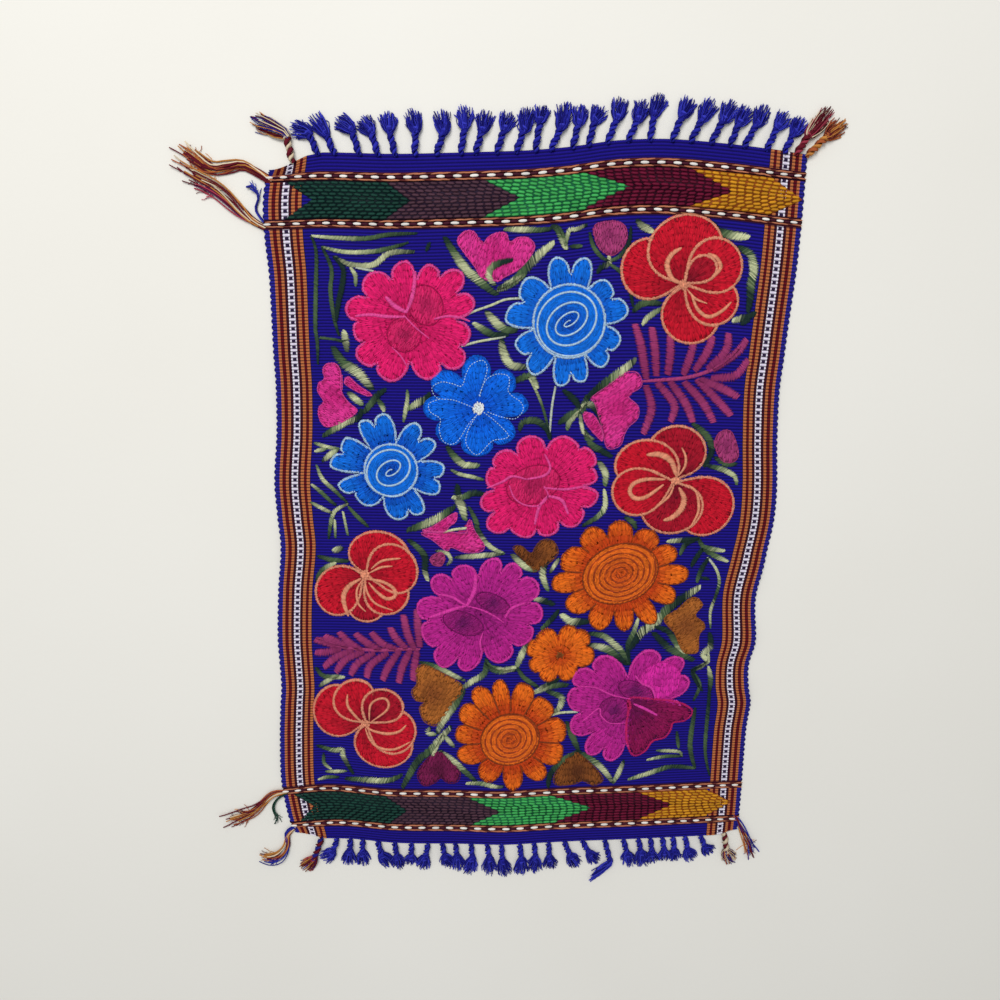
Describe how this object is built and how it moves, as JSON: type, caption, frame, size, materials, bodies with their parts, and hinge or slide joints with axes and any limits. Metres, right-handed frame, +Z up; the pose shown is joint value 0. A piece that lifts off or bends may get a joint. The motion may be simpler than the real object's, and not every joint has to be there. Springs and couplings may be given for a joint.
{
  "type": "embroidered woven mat",
  "caption": "Flat hand-woven cotton mat with embroidered flowers, brocade bands between twined lines, and knotted fringe at both ends.",
  "frame": {"origin": "the middle of the cloth on its flat underside, which is the plane of the table", "axes": "+X across the mat to its right selvedge, +Y along its length to the end that is uppermost in the picture, +Z up from the table"},
  "size_m": [0.4514, 0.587, 0.0049],
  "materials": {
    "woven_cotton": "ribbed blue cotton, matte, with satin-stitched flowers and striped selvedges",
    "fringe_cotton": "twisted blue cotton yarn, matte",
    "yarn_ends": "loose maroon, orange and cream cotton yarns, matte"
  },
  "bodies": {
    "root": {"cloth": "woven_cotton", "fringe_top": "fringe_cotton", "fringe_bottom": "fringe_cotton", "tuft_left_1": "yarn_ends", "tuft_left_2": "yarn_ends", "tuft_left_3": "yarn_ends", "tuft_left_4": "yarn_ends", "tuft_right_4": "yarn_ends"}
  },
  "joints": []
}
